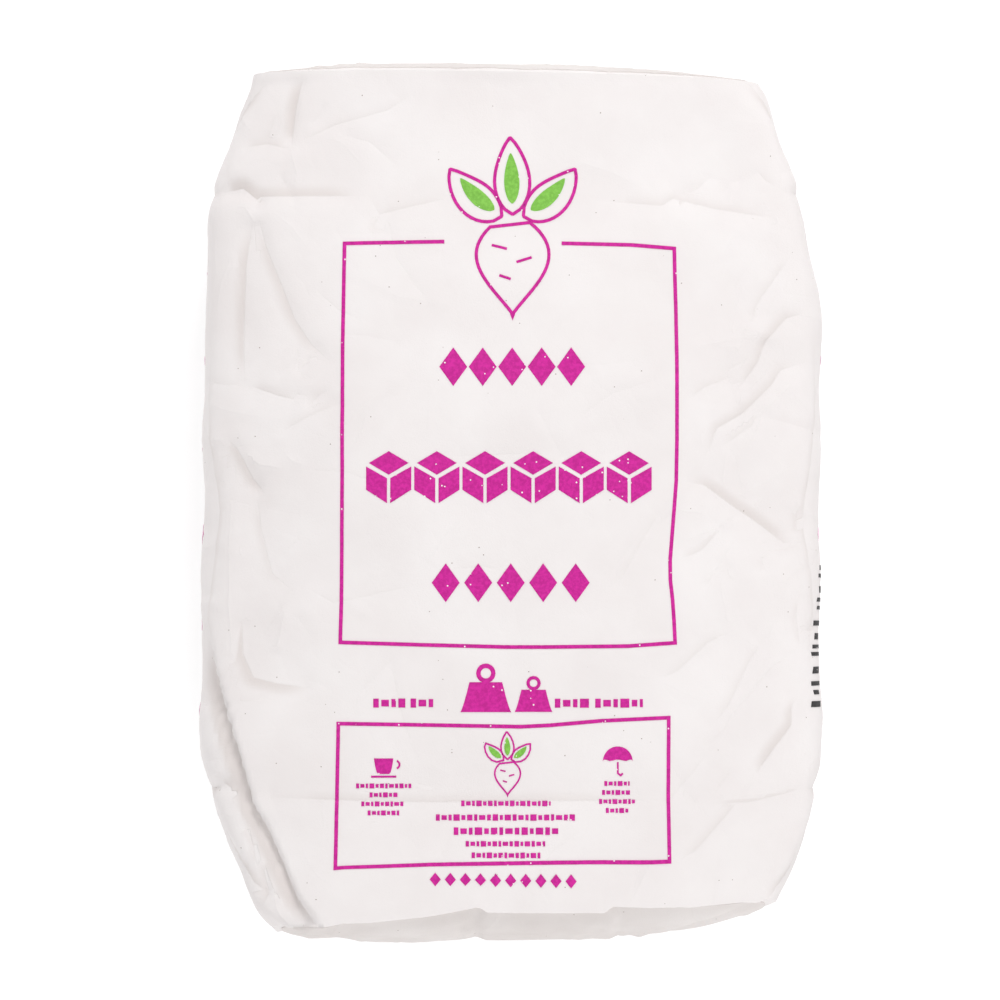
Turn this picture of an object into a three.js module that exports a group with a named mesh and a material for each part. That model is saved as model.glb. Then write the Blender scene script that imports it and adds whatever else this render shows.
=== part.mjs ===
// A filled 25 kg valve sack of sugar, lying on its back with the printed front up.
// Millimetres. X runs across the sack, Y towards its top end, Z up from the floor.
// The origin is on the floor, under the middle of the sack.

import * as THREE from 'three';

// Size of the filled sack
const panelLength = 552; // front panel, from end fold to end fold
const bellyHalfWidth = 213; // half the width over the belly
const endHalfWidth = 172; // half the width of the square-cut ends
const bellyHeight = 141; // highest point of the front over the floor
const crownDrop = 9; // how far the front falls from the belly towards the ends
const endLift = 11; // how far the squared ends rise again past the cross folds
const endFoldWidth = 74; // from each end fold to the cross fold beside it
const bellyWaist = 62; // height of the widest line over the floor, at the belly
const endWaist = 71; // and at the ends
const flattening = 3; // how far the underside is pressed flat by the floor

// How the belly narrows to each end
const topTaper = { reach: 220, power: 2.8 };
const bottomTaper = { reach: 140, power: 2.4 };

// The ends sit a little to the left and the right of the belly
const topShift = { by: -3.5, reach: 220 };
const bottomShift = { by: 7, reach: 140 };

// Roundness of the cross-section: 2 is an ellipse, a high number is a box
const bellyFront = 3.0;
const bellyBack = 4.2;
const endSquareness = 9;

// The end folds lie a little askew: tilt and sag of each across the half width. The end
// faces lean too, so that they stand out further near the floor, and they swell out.
const topEdge = { middle: 284, tilt: -3.3, sag: -3.3, lean: 3 };
const bottomEdge = { middle: -281, tilt: 7, sag: 4, lean: -12 };
const topBulge = 11;
const bottomBulge = 16;

// Glued cover sheets on the end faces
const sheetThickness = 1;
const sheetGap = 0.35;
const sheetMargin = 8; // from the end folds to the edge of the sheet

// Cross folds pressed into the front, the sides and the back
const crossFold = { depth: 3, width: 11 };

// The deep diagonal fold where the lower left corner is tucked in: it starts shallow
// near the left side and deepens towards the bottom end
const cornerFold = { depth: 10, width: 14, fromY: -130, toY: -215 };
const cornerFoldLine = [[-201, -120], [-184, -183], [-169, -223], [-138, -287]];

// Broad hollows (depth above zero) and swellings (below zero) of the settled sugar
const hollows = [
  { x: -150, y: 95, reach: 46, depth: 2 },
  { x: -176, y: -30, reach: 52, depth: 3.5 },
  { x: 155, y: 122, reach: 44, depth: 3 },
  { x: 150, y: -12, reach: 50, depth: 5 },
  { x: 168, y: -128, reach: 46, depth: 4 },
  { x: -100, y: 40, reach: 62, depth: -2.5 },
  { x: 90, y: 70, reach: 66, depth: -2 },
  { x: 60, y: -150, reach: 60, depth: -2 },
];

// Over these heights and lengths the hollows fade in: off the floor, past the widest
// line, and in from the end folds
const floorFade = 45;
const waistFade = 50;
const endFade = 12;

// Mesh steps
const panelSteps = 10; // half the front, without the strip beside the corner
const sideSteps = 3; // half a side, without the strip beside the corner
const bellyRows = 24;
const endRows = 5;
const arcSamples = 120;

const paper = { color: 0xf1ecea, roughness: 0.82, metalness: 0 };
const coverPaper = { color: 0xe9e3e0, roughness: 0.85, metalness: 0 };

const clamp01 = (t) => Math.min(1, Math.max(0, t));
const mix = (a, b, t) => a + (b - a) * t;
const fade = (distance, reach, power) => clamp01(1 - distance / reach) ** power;
const smooth = (t) => clamp01(t) ** 2 * (3 - 2 * clamp01(t));

// Shape of the cross-section at v, which runs from 0 at the bottom end to 1 at the top
function sectionAt(v) {
  const fromTop = (1 - v) * panelLength;
  const fromBottom = v * panelLength;
  const fromEnd = Math.min(fromTop, fromBottom);
  const offCentre = Math.abs(2 * v - 1);
  const square = offCentre ** 3;
  const narrowing = fade(fromTop, topTaper.reach, topTaper.power)
    + fade(fromBottom, bottomTaper.reach, bottomTaper.power);
  const pastFold = clamp01((endFoldWidth - fromEnd) / endFoldWidth);
  return {
    middle: topShift.by * smooth(1 - fromTop / topShift.reach)
      + bottomShift.by * smooth(1 - fromBottom / bottomShift.reach),
    halfWidth: bellyHalfWidth - (bellyHalfWidth - endHalfWidth) * narrowing,
    height: bellyHeight - crownDrop * offCentre ** 2 + endLift * pastFold ** 1.3,
    waist: mix(bellyWaist, endWaist, square),
    front: mix(bellyFront, endSquareness, square),
    back: mix(bellyBack, endSquareness, square),
    fromEnd,
  };
}

// A point of the cross-section. The angle runs from 0 at the middle of a panel to
// a right angle at the widest line; at half of that lies the corner.
function frontPoint(section, angle) {
  const power = 2 / section.front;
  const rise = section.height - section.waist;
  return [
    section.halfWidth * Math.sin(angle) ** power,
    section.waist + rise * Math.cos(angle) ** power,
  ];
}

function backPoint(section, angle) {
  const power = 2 / section.back;
  const drop = section.waist + flattening;
  const z = section.waist - drop * Math.abs(Math.cos(angle)) ** power;
  return [section.halfWidth * Math.sin(angle) ** power, Math.max(0, z)];
}

// Points at the given shares of the way along an arc of the cross-section
function alongArc(pointAt, fromAngle, toAngle, shares) {
  const points = [];
  const lengths = [0];
  for (let k = 0; k <= arcSamples; k += 1) {
    points.push(pointAt(mix(fromAngle, toAngle, k / arcSamples)));
    if (k > 0) {
      const [x0, z0] = points[k - 1];
      const [x1, z1] = points[k];
      lengths.push(lengths[k - 1] + Math.hypot(x1 - x0, z1 - z0));
    }
  }
  const total = lengths[arcSamples];
  return shares.map((share) => {
    let k = 1;
    while (k < arcSamples && lengths[k] < share * total) k += 1;
    const t = (share * total - lengths[k - 1]) / (lengths[k] - lengths[k - 1]);
    return [mix(points[k - 1][0], points[k][0], t), mix(points[k - 1][1], points[k][1], t)];
  });
}

// Shares that step evenly up to the strip beside the corner, then to the corner
function sharesToCorner(steps, halfSize) {
  const strip = sheetMargin / halfSize;
  const shares = Array.from({ length: steps + 1 }, (_, k) => ((1 - strip) * k) / steps);
  return [...shares, 1];
}

const panelShares = sharesToCorner(panelSteps, endHalfWidth);
const sideShares = sharesToCorner(sideSteps, endWaist);
const reversed = (shares) => shares.map((share) => 1 - share).reverse();

// Right half of a ring: front middle, corner, widest line, corner, back middle
function halfRing(section) {
  const corner = Math.PI / 4;
  const widest = Math.PI / 2;
  const front = (angle) => frontPoint(section, angle);
  const back = (angle) => backPoint(section, angle);
  return [
    ...alongArc(front, 0, corner, panelShares),
    ...alongArc(front, corner, widest, reversed(sideShares)).slice(1),
    ...alongArc(back, widest, corner, sideShares).slice(1),
    ...alongArc(back, corner, 0, reversed(panelShares)).slice(1),
  ];
}

function distanceToLine(x, y, line) {
  let nearest = Infinity;
  for (let k = 1; k < line.length; k += 1) {
    const [ax, ay] = line[k - 1];
    const [bx, by] = line[k];
    const run = (bx - ax) ** 2 + (by - ay) ** 2;
    const t = clamp01(((x - ax) * (bx - ax) + (y - ay) * (by - ay)) / run);
    nearest = Math.min(nearest, Math.hypot(x - mix(ax, bx, t), y - mix(ay, by, t)));
  }
  return nearest;
}

// How far the paper lies inside its even shape at a point
function hollowAt(x, y, z, section) {
  const clearOfFloor = smooth(z / floorFade);
  const faceUp = smooth((z - section.waist) / waistFade + 0.5);
  const ridge = Math.abs(section.fromEnd - endFoldWidth);
  let depth = crossFold.depth * Math.exp(-ridge / crossFold.width);
  const fromFold = distanceToLine(x, y, cornerFoldLine);
  const deepening = smooth((cornerFold.fromY - y) / (cornerFold.fromY - cornerFold.toY));
  depth += faceUp * deepening * cornerFold.depth * Math.exp(-fromFold / cornerFold.width);
  for (const { x: cx, y: cy, reach, depth: deep } of hollows) {
    depth += faceUp * deep * Math.exp(-((x - cx) ** 2 + (y - cy) ** 2) / reach ** 2);
  }
  return depth * clearOfFloor * smooth(section.fromEnd / endFade);
}

function edgeAt(edge, x, z) {
  const across = x / endHalfWidth;
  const down = 1 - z / bellyHeight;
  return edge.middle + edge.tilt * across + edge.sag * across ** 2 + edge.lean * down;
}

// One closed ring of the wall, starting at the front middle and going right
function ringAt(v) {
  const section = sectionAt(v);
  const half = halfRing(section);
  const left = half.slice(1, -1).reverse().map(([x, z]) => [-x, z]);
  const flat = [...half, ...left].map(([x, z]) => [x + section.middle, z]);
  return flat.map(([x, z], i) => {
    const [x0, z0] = flat[(i + flat.length - 1) % flat.length];
    const [x1, z1] = flat[(i + 1) % flat.length];
    const span = Math.hypot(x1 - x0, z1 - z0);
    const outX = (z0 - z1) / span;
    const outZ = (x1 - x0) / span;
    const y = mix(edgeAt(bottomEdge, x, z), edgeAt(topEdge, x, z), v);
    const depth = hollowAt(x, y, z, section);
    return [x - outX * depth, y, Math.max(0, z - outZ * depth)];
  });
}

// Rows along the sack, with one exactly on each cross fold
function rowStations() {
  const fold = endFoldWidth / panelLength;
  const stations = [];
  for (let k = 0; k < endRows; k += 1) stations.push((fold * k) / endRows);
  for (let k = 0; k < bellyRows; k += 1) stations.push(mix(fold, 1 - fold, k / bellyRows));
  for (let k = 0; k <= endRows; k += 1) stations.push(mix(1 - fold, 1, k / endRows));
  return stations;
}

// Counts that tie the end grids to the rings
const halfPanel = panelSteps + 1;
const halfSide = sideSteps + 1;
const columns = 2 * halfPanel;
const levels = 2 * halfSide;
const ringSize = 2 * (columns + levels);

// Ring index of a place on the rim of an end face, column 0 at the left, level 0 in front
function rimIndex(column, level) {
  if (level === 0) return (ringSize - halfPanel + column) % ringSize;
  if (column === columns) return halfPanel + level;
  if (level === levels) return halfPanel + levels + (columns - column);
  return ringSize - halfPanel - level;
}

// Swollen end face, spanned between the points of the last ring
function endGrid(ring, bulge) {
  const rim = (column, level) => ring[rimIndex(column, level)];
  const crossShare = [...panelShares.slice(1).reverse().map((s) => 0.5 - s / 2),
    ...panelShares.map((s) => 0.5 + s / 2)];
  const downShare = [...sideShares.slice(1).reverse().map((s) => 0.5 - s / 2),
    ...sideShares.map((s) => 0.5 + s / 2)];
  return downShare.map((down, level) => crossShare.map((across, column) => {
    const point = [0, 1, 2].map((axis) => {
      const vertical = mix(rim(column, 0)[axis], rim(column, levels)[axis], down);
      const sideways = mix(rim(0, level)[axis], rim(columns, level)[axis], across);
      const corners = mix(
        mix(rim(0, 0)[axis], rim(columns, 0)[axis], across),
        mix(rim(0, levels)[axis], rim(columns, levels)[axis], across),
        down,
      );
      return vertical + sideways - corners;
    });
    const pillow = (1 - (2 * across - 1) ** 4) * (1 - (2 * down - 1) ** 2);
    point[1] += bulge * pillow;
    return point;
  }));
}

// Collects vertices and faces of one closed body
function shell() {
  const places = [];
  const faces = [];
  return {
    add: (point) => places.push(...point) / 3 - 1,
    quad: (a, b, c, d) => faces.push(a, b, c, a, c, d),
    geometry: () => {
      const geometry = new THREE.BufferGeometry();
      geometry.setAttribute('position', new THREE.Float32BufferAttribute(places, 3));
      geometry.setIndex(faces);
      geometry.computeVertexNormals();
      return geometry;
    },
  };
}

// A grid of points joined to quads, with its outside on the side of +Y or -Y
function joinGrid(body, ids, outward) {
  for (let r = 1; r < ids.length; r += 1) {
    for (let c = 1; c < ids[r].length; c += 1) {
      const [a, b, d, e] = [ids[r - 1][c - 1], ids[r - 1][c], ids[r][c], ids[r][c - 1]];
      if (outward > 0) body.quad(a, b, d, e);
      else body.quad(a, e, d, b);
    }
  }
}

function sackGeometry(rings, bottomGrid, topGrid) {
  const body = shell();
  const wall = rings.map((ring) => ring.map(body.add));
  for (let r = 1; r < wall.length; r += 1) {
    for (let i = 0; i < ringSize; i += 1) {
      const j = (i + 1) % ringSize;
      body.quad(wall[r - 1][i], wall[r - 1][j], wall[r][j], wall[r][i]);
    }
  }
  const close = (grid, ringIds, outward) => {
    const ids = grid.map((row, level) => row.map((point, column) => {
      const onRim = level === 0 || level === levels || column === 0 || column === columns;
      return onRim ? ringIds[rimIndex(column, level)] : body.add(point);
    }));
    joinGrid(body, ids, outward);
  };
  close(bottomGrid, wall[0], -1);
  close(topGrid, wall[wall.length - 1], 1);
  return body.geometry();
}

// Cover sheet glued on an end face, one grid step inside the end folds
function coverGeometry(grid, outward) {
  const body = shell();
  const inside = grid.slice(1, -1).map((row) => row.slice(1, -1));
  const lay = (offset) => inside.map((row) => row.map(([x, y, z]) => body.add([x, y + offset, z])));
  const under = lay(outward * sheetGap);
  const over = lay(outward * (sheetGap + sheetThickness));
  joinGrid(body, over, outward);
  joinGrid(body, under, -outward);
  const rim = (ids) => [
    ...ids[0],
    ...ids.slice(1).map((row) => row[row.length - 1]),
    ...ids[ids.length - 1].slice(0, -1).reverse(),
    ...ids.slice(1, -1).map((row) => row[0]).reverse(),
  ];
  const low = rim(under);
  const high = rim(over);
  low.forEach((_, k) => {
    const next = (k + 1) % low.length;
    const quad = [low[k], low[next], high[next], high[k]];
    body.quad(...(outward < 0 ? quad.reverse() : quad));
  });
  return body.geometry();
}

function named(name, geometry, finish) {
  const mesh = new THREE.Mesh(geometry, new THREE.MeshStandardMaterial(finish));
  mesh.name = name;
  return mesh;
}

const rings = rowStations().map(ringAt);
const bottomGrid = endGrid(rings[0], -bottomBulge);
const topGrid = endGrid(rings[rings.length - 1], topBulge);

const sack = new THREE.Group();
sack.add(
  named('sack', sackGeometry(rings, bottomGrid, topGrid), paper),
  named('top_cover', coverGeometry(topGrid, 1), coverPaper),
  named('bottom_cover', coverGeometry(bottomGrid, -1), coverPaper),
);

// The middle of the whole comes over the origin
const box = new THREE.Box3().setFromObject(sack);
sack.position.set(-(box.min.x + box.max.x) / 2, -(box.min.y + box.max.y) / 2, -box.min.z);

export default sack;
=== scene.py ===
import math
import bpy
import numpy as np
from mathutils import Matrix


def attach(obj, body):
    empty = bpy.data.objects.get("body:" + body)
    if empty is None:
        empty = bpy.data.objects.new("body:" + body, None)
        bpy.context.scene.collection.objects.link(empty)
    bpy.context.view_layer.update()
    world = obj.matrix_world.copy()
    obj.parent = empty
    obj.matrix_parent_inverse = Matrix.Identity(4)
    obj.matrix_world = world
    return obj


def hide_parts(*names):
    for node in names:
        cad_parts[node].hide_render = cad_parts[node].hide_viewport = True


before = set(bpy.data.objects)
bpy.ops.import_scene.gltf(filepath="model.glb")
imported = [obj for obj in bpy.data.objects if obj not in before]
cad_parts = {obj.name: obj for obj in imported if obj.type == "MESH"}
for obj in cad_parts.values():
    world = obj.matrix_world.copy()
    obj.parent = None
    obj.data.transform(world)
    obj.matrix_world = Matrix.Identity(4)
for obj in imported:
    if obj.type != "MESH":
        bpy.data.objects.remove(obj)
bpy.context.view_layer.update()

mm = 0.001  # shapes below are worked out in millimetres, meshes are in metres
scene = bpy.context.scene
print("frame loaded")


# Small maths

def clamp(t):
    return np.clip(t, 0.0, 1.0)


def mixTo(a, b, t):
    return a + (b - a) * t


def ease(t):
    return clamp(t) ** 2 * (3 - 2 * clamp(t))


def fade(distance, reach, power):
    return clamp(1 - distance / reach) ** power


# Even shape of the filled sack

sackForm = {
    "panelLength": 552,  # front panel, from end fold to end fold
    "bellyHalfWidth": 213,
    "endHalfWidth": 172,
    "bellyHeight": 141,
    "crownDrop": 9,
    "endLift": 11,
    "endFold": 74,  # from each end fold to the cross fold beside it
    "bellyWaist": 62,  # height of the widest line
    "endWaist": 71,
    "flattening": 3,
    "topTaper": (220, 2.8),  # reach and power of the narrowing
    "bottomTaper": (140, 2.4),
    "topShift": (-3.5, 220),  # how far an end sits to the right, and from where on
    "bottomShift": (7, 140),
    "bellyFront": 3.0,  # roundness: 2 is an ellipse, a high number is a box
    "bellyBack": 4.2,
    "endSquare": 9,
    "topEdge": (284, -3.3, -3.3, 3),  # middle, tilt, sag and lean of the end fold
    "bottomEdge": (-281, 7, 4, -12),
    "topBulge": 11,
    "bottomBulge": 16,
    "lipGroove": (4.0, 4),  # how far the end face draws in, and how far under the front's lip
    "cornerStrip": 8,
    "cellsHalfPanel": 80,
    "cellsHalfSide": 14,
    "rowsBelly": 156,
    "rowsEnd": 30,
    "arcSamples": 400,
    "uvSpan": 1050,  # width of paper that fills the whole texture square
    "bottomUv": (0.5, 0.04),  # where the two ends lie on it
    "topUv": (0.5, 0.80),
    "printShift": (1.3, 0.1),  # the print's middle from the sack's middle
}


def sectionAt(v):
    f = sackForm
    fromTop = (1 - v) * f["panelLength"]
    fromBottom = v * f["panelLength"]
    fromEnd = min(fromTop, fromBottom)
    offCentre = abs(2 * v - 1)
    square = offCentre ** 3
    narrowing = fade(fromTop, *f["topTaper"]) + fade(fromBottom, *f["bottomTaper"])
    pastFold = clamp((f["endFold"] - fromEnd) / f["endFold"])
    (topBy, topReach), (bottomBy, bottomReach) = f["topShift"], f["bottomShift"]
    return {
        "middle": topBy * ease(1 - fromTop / topReach) + bottomBy * ease(1 - fromBottom / bottomReach),
        "halfWidth": mixTo(f["bellyHalfWidth"], f["endHalfWidth"], narrowing),
        "height": f["bellyHeight"] - f["crownDrop"] * offCentre ** 2
        + f["endLift"] * pastFold ** 1.3,
        "waist": mixTo(f["bellyWaist"], f["endWaist"], square),
        "front": mixTo(f["bellyFront"], f["endSquare"], square),
        "back": mixTo(f["bellyBack"], f["endSquare"], square),
    }


def frontCurve(section, angle):
    power = 2 / section["front"]
    rise = section["height"] - section["waist"]
    return np.stack([
        section["halfWidth"] * np.sin(angle) ** power,
        section["waist"] + rise * np.abs(np.cos(angle)) ** power,
    ], axis=1)


def backCurve(section, angle):
    power = 2 / section["back"]
    drop = section["waist"] + sackForm["flattening"]
    z = section["waist"] - drop * np.abs(np.cos(angle)) ** power
    return np.stack([section["halfWidth"] * np.sin(angle) ** power, np.maximum(z, 0)], axis=1)


def alongArc(curve, section, fromAngle, toAngle, shares):
    # points at even shares of the arc's length, and those lengths
    points = curve(section, np.linspace(fromAngle, toAngle, sackForm["arcSamples"] + 1))
    steps = np.hypot(*np.diff(points, axis=0).T)
    lengths = np.concatenate([[0], np.cumsum(steps)])
    wanted = shares * lengths[-1]
    x = np.interp(wanted, lengths, points[:, 0])
    z = np.interp(wanted, lengths, points[:, 1])
    return np.stack([x, z], axis=1), wanted


def sharesToCorner(cells, halfSize):
    strip = sackForm["cornerStrip"] / halfSize
    stripCells = 3
    return np.concatenate([
        np.linspace(0, 1 - strip, cells + 1),
        np.linspace(1 - strip, 1, stripCells + 1)[1:],
    ])


panelShares = sharesToCorner(sackForm["cellsHalfPanel"], sackForm["endHalfWidth"])
sideShares = sharesToCorner(sackForm["cellsHalfSide"], sackForm["endWaist"])
halfPanel = len(panelShares) - 1
halfSide = len(sideShares) - 1
columns = 2 * halfPanel
levels = 2 * halfSide
ringSize = 2 * (columns + levels)


def ringAt(v):
    # x, z and paper length of one ring, from the front middle round by the right
    section = sectionAt(v)
    corner, widest = math.pi / 4, math.pi / 2
    arcs = [
        (frontCurve, 0, corner, panelShares),
        (frontCurve, corner, widest, 1 - sideShares[::-1]),
        (backCurve, widest, corner, sideShares),
        (backCurve, corner, 0, 1 - panelShares[::-1]),
    ]
    half, paper, start = [], [], 0.0
    for curve, fromAngle, toAngle, shares in arcs:
        points, lengths = alongArc(curve, section, fromAngle, toAngle, shares)
        skip = 1 if half else 0
        half.append(points[skip:])
        paper.append(start + lengths[skip:])
        start += lengths[-1]
    half = np.concatenate(half)
    paper = np.concatenate(paper)
    mirrored = half[-2:0:-1] * [-1, 1]
    x, z = np.concatenate([half, mirrored]).T
    return x + section["middle"], z, np.concatenate([paper, -paper[-2:0:-1]])


def edgeAt(edge, x, z):
    # the end faces lean: near the floor they stand out further
    middle, tilt, sag, lean = edge
    across = x / sackForm["endHalfWidth"]
    down = 1 - z / sackForm["bellyHeight"]
    return middle + tilt * across + sag * across ** 2 + lean * down


def rowStations():
    fold = sackForm["endFold"] / sackForm["panelLength"]
    return np.concatenate([
        np.linspace(0, fold, sackForm["rowsEnd"] + 1)[:-1],
        np.linspace(fold, 1 - fold, sackForm["rowsBelly"] + 1)[:-1],
        np.linspace(1 - fold, 1, sackForm["rowsEnd"] + 1),
    ])


def evenWall():
    stations = rowStations()
    rings = [ringAt(v) for v in stations]
    x = np.array([ring[0] for ring in rings])
    z = np.array([ring[1] for ring in rings])
    paper = np.array([ring[2] for ring in rings])
    v = np.repeat(stations[:, None], ringSize, axis=1)
    y = mixTo(edgeAt(sackForm["bottomEdge"], x, z), edgeAt(sackForm["topEdge"], x, z), v)
    return np.stack([x, y, z], axis=2), paper


def wallNormals(wall):
    around = np.roll(wall, -1, axis=1) - np.roll(wall, 1, axis=1)
    along = np.gradient(wall, axis=0)
    normals = np.cross(around, along)
    return normals / np.maximum(np.linalg.norm(normals, axis=2, keepdims=True), 1e-9)


# Creases, facets and hollows pressed into the even shape

# A crease is a path in a view, its depth (below zero is a ridge), and how wide it runs
# out on the left and on the right of its path
frontCreases = [
    # folds across both ends
    ([(-200, -192), (-187, -197), (-173, -200), (-116, -202), (-55, -203.5), (5, -202.5), (130, -202)],
     1.8, 24, 5),
    ([(130, -202), (160, -200), (180, -196), (204, -190)], -1.2, 8, 7.5),
    ([(128, -205), (160, -203), (182, -198), (204, -193)], 1.6, 6.5, 9),
    ([(-202, 205), (-150, 205), (-97, 205)], 2.8, 17, 4.6),
    ([(-97, 206), (-90, 192), (-70, 197), (-39, 204)], 1.3, 9, 7.5),
    ([(50, 202), (101, 198), (108, 203), (137, 196), (194, 188)], 1.6, 14, 5.5),
    ([(108, 196), (118, 202), (124, 196)], 1.4, 6.5, 6.5),
    ([(-39, 204), (50, 202)], 0.4, 9, 5.5),
    # upper left
    ([(-141, 286), (-147, 262), (-150, 236)], 3.0, 3.6, 8),
    ([(-150, 236), (-166, 240), (-184, 238)], 1.5, 7.5, 9),
    ([(-150, 236), (-146, 220), (-148, 210)], -1.3, 6.5, 7.5),
    ([(-150, 238), (-120, 252), (-84, 262), (-62, 276)], 1.1, 14, 7.5),
    ([(-197, 209), (-184, 211), (-174, 203), (-168, 197)], 3.4, 5, 4.5),
    ([(-188, 200), (-180, 197), (-174, 186)], -1.6, 6.5, 6),
    ([(-174, 196), (-168, 172), (-158, 148), (-148, 122), (-136, 104), (-119, 89)], 2.4, 4.5, 12),
    ([(-176, 196), (-182, 160), (-184, 120), (-183, 70)], 2.8, 9, 6),
    ([(-90, 192), (-94, 183), (-84, 180)], 1.2, 6.5, 7.5),
    ([(-134, 142), (-118, 128), (-102, 120)], 0.8, 8, 8),
    # left side of the belly
    ([(-181, 78), (-170, 74), (-158, 70), (-142, 66)], 1.7, 6.5, 12),
    ([(-160, 44), (-132, 58), (-112, 66)], 1.1, 7.5, 16),
    ([(-197, 44), (-187, 33), (-178, 14), (-168, 2)], 3.0, 5.5, 9),
    ([(-186, 52), (-184, 34), (-172, 24), (-150, 20)], -1.7, 6, 6),
    ([(-192, 10), (-193, -40), (-192, -90), (-188, -126)], -2.4, 9, 7),
    ([(-176, 8), (-172, -20), (-164, -50), (-146, -64)], 1.6, 12, 8),
    ([(-186, -72), (-184, -104), (-176, -120), (-160, -124), (-130, -128)], 3.2, 17, 9),
    ([(-146, -56), (-120, -70), (-84, -62), (-62, -58)], 0.9, 12, 8),
    ([(-144, 20), (-112, 18), (-84, 8)], 0.7, 9, 12),
    # middle
    ([(-55, 28), (-20, 29), (40, 32)], 0.6, 5.5, 9),
    ([(-42, -47), (-18, -46), (-4, -49)], 0.7, 5.5, 6),
    ([(-30, -10), (-44, -24), (-58, -44)], -0.6, 8, 8),
    ([(16, 92), (60, 90), (94, 94)], 0.5, 6.5, 12),
    # right side of the belly
    ([(192, 172), (178, 150), (166, 132), (160, 110)], 1.3, 6, 11),
    ([(204, 128), (186, 124), (172, 108), (166, 92), (150, 70)], 2.0, 8, 7.5),
    ([(206, 96), (182, 88), (176, 78), (156, 58), (138, 48), (128, 20)], 1.9, 6.5, 12),
    ([(152, 84), (130, 76), (116, 66)], 1.2, 7.5, 10),
    ([(196, 86), (170, 60), (158, 30)], -1.3, 7, 9),
    ([(172, 66), (162, 50), (140, 34)], 1.2, 5.5, 7),
    ([(112, 12), (130, 10), (150, -4), (172, -18), (197, -36)], 3.0, 16, 5.5),
    ([(110, -42), (128, -34), (144, -16)], 1.5, 12, 6.5),
    ([(104, 0), (86, -30), (66, -66)], 0.9, 16, 7),
    ([(156, -10), (140, -18), (112, -30)], -1.2, 8, 9),
    ([(190, -4), (196, -12), (197, -26)], 1.5, 6.5, 7.5),
    ([(196, -60), (194, -80), (200, -104)], 1.3, 6.5, 6),
    ([(154, -86), (132, -96), (110, -116), (92, -124)], 1.2, 16, 8),
    ([(176, -86), (160, -110), (146, -138), (128, -160)], 1.2, 14, 10),
    ([(199, -99), (176, -112), (150, -142), (134, -168)], -1.4, 12, 12),
    ([(197, -128), (191, -140), (190, -152), (178, -166), (160, -190)], 2.8, 7, 6.5),
    ([(160, -190), (147, -208), (122, -236), (104, -246)], 1.5, 16, 6),
    ([(134, -168), (110, -196), (96, -214)], 0.9, 14, 8),
]

cornerCreases = [  # the tucked corner at the lower left
    ([(-210, -92), (-204, -119), (-192, -154), (-183, -186), (-177, -208), (-166, -225), (-156, -246),
      (-145, -271), (-132, -288), (-124, -299)], 9, 1.4, 12),
]

earCreases = [
    ([(-163, -236), (-170, -250), (-168, -264), (-172, -280)], 1.8, 3, 5),
    ([(-171, -262), (-158, -266), (-146, -272)], 1.4, 3, 5),
    ([(-204, -190), (-194, -196), (-186, -200)], 2.4, 5, 7),
    ([(-186, -214), (-178, -232), (-176, -252)], 1.5, 4, 6),
    ([(-150, -292), (-160, -276), (-164, -258)], -1.3, 4, 4),
]

# The same for the two sides, in a view from the side: along the sack, then up
sideCreases = [
    ([(-199, 71), (-240, 105), (-281, 143)], 2.6, 4, 9),
    ([(-199, 71), (-240, 36), (-281, 2)], 2.6, 9, 4),
    ([(205, 71), (245, 105), (283, 143)], 2.6, 9, 4),
    ([(205, 71), (245, 36), (283, 2)], 2.6, 4, 9),
    ([(-199, 20), (-199, 71), (-200, 125)], 2.4, 3, 9),
    ([(205, 20), (205, 71), (206, 125)], 2.4, 9, 3),
    ([(-150, 108), (-80, 96), (-10, 104), (70, 92), (140, 106)], 1.6, 4, 10),
    ([(-120, 34), (-60, 44), (20, 36), (96, 48), (170, 38)], 1.8, 10, 4),
]

endCreases = [  # edges of the folded flaps that show through the cover sheet
    ([(-108, 76), (0, 72), (106, 74)], 1.3, 4, 9),
    ([(-108, 76), (-136, 104), (-168, 136)], 1.2, 4, 8),
    ([(-108, 76), (-134, 44), (-168, 8)], 1.2, 8, 4),
    ([(106, 74), (136, 104), (166, 136)], 1.2, 8, 4),
    ([(106, 74), (134, 42), (166, 8)], 1.2, 4, 8),
]

creaseForm = {
    "facets": ((92, 2.3), (41, 0.85), (19, 0.25)),  # size of the crumple's facets, and height
    "bend": 0.36,  # how far the facets' edges bend, as a share of their size
    "calm": 0.34,  # crumple left on the smooth middle of the front
    "faces": ((2, 1.6, 0.35), (2, -2.0, -0.2), (0, 1.8, -0.1), (0, -1.8, -0.1)),  # axis, gain and start
    "strewn": {  # how many single creases lie on each face, and how even: 1 is even
        "front": (90, 0.6),
        "back": (70, 0.8),
        "side": (36, 0.8),
        "end": (44, 0.8),
    },
    "sideHeights": (5, 130),
    "endHeights": (5, 140),
    "lengths": (18, 110),  # shortest and longest
    "depths": (0.3, 0.8),  # share of the depth that the faintest has, and depth
    "widths": (1.8, 7.0),
    "softFade": 2.2,  # how fast a crease runs out at its sides
    "straightFade": 1.0,
    "swell": 0.9,  # height of the slow swell all over the paper
    "swellWaves": (9, 60, 150),  # count, shortest and longest
    "seam": (26, 0.9),  # width and rise of the glued lap along the back
    "footCount": 11,  # small sharp creases at each crumpled place
    "footLengths": (9, 44),
    "footDepths": (0.25, 1.1),
    "footWidths": (1.6, 5.0),
    "lineReach": 8,  # a crease line's sharpness fades out this far from it
    "drawnFrom": (-0.9, 3.9),  # the front's creases are drawn from the print's middle
    "strayReach": (26, 30, 50),  # lip's reach along the sack and down, and the end's reach
    "cornerRound": 9,  # how far the rim of the tucked corner is rounded down
    "cornerEnd": -126,
    "flatFoot": 30,  # nothing is pressed at the floor, all of it from this height up
    "seed": 11,
}

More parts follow.
